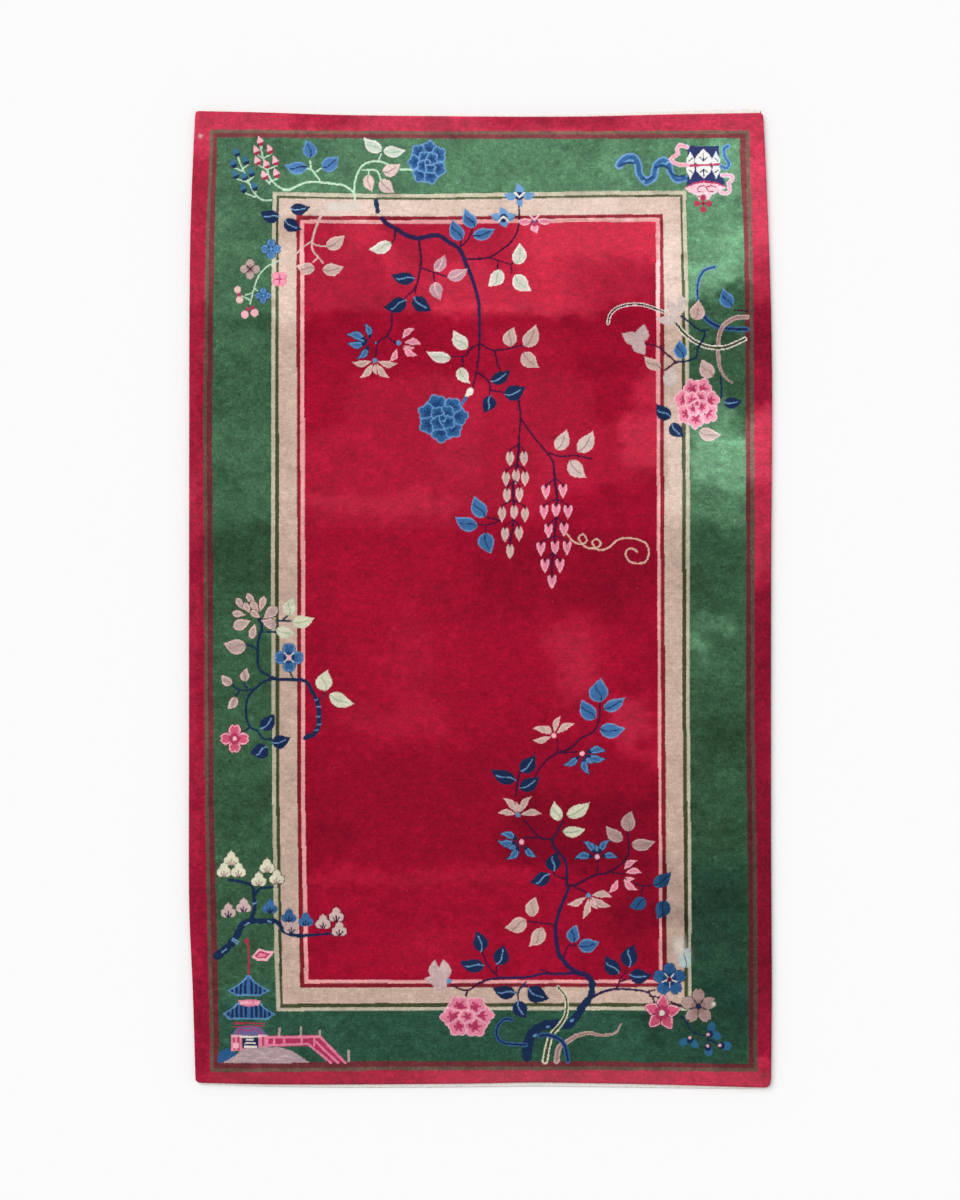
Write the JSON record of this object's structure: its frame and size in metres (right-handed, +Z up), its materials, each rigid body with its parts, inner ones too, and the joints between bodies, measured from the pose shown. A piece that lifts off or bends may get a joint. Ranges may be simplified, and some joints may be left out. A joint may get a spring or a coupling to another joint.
{
  "type": "chinese art deco rug",
  "caption": "Flat hand-knotted wool pile rug with a crimson field, banded green border, floral sprays and short cotton end webs, for laying on a floor.",
  "frame": {"origin": "middle of the underside, at the centre of the rug's bounding rectangle on the floor", "axes": "+Z up out of the pile, +Y along the length to the end that is at the top of the picture, +X across the width to the picture's right"},
  "size_m": [1.2205, 2.052, 0.012],
  "materials": {
    "wool_pile": "short cut wool pile, dull with a soft sheen along the nap"
  },
  "bodies": {
    "root": {"rug": "wool_pile"}
  },
  "joints": []
}
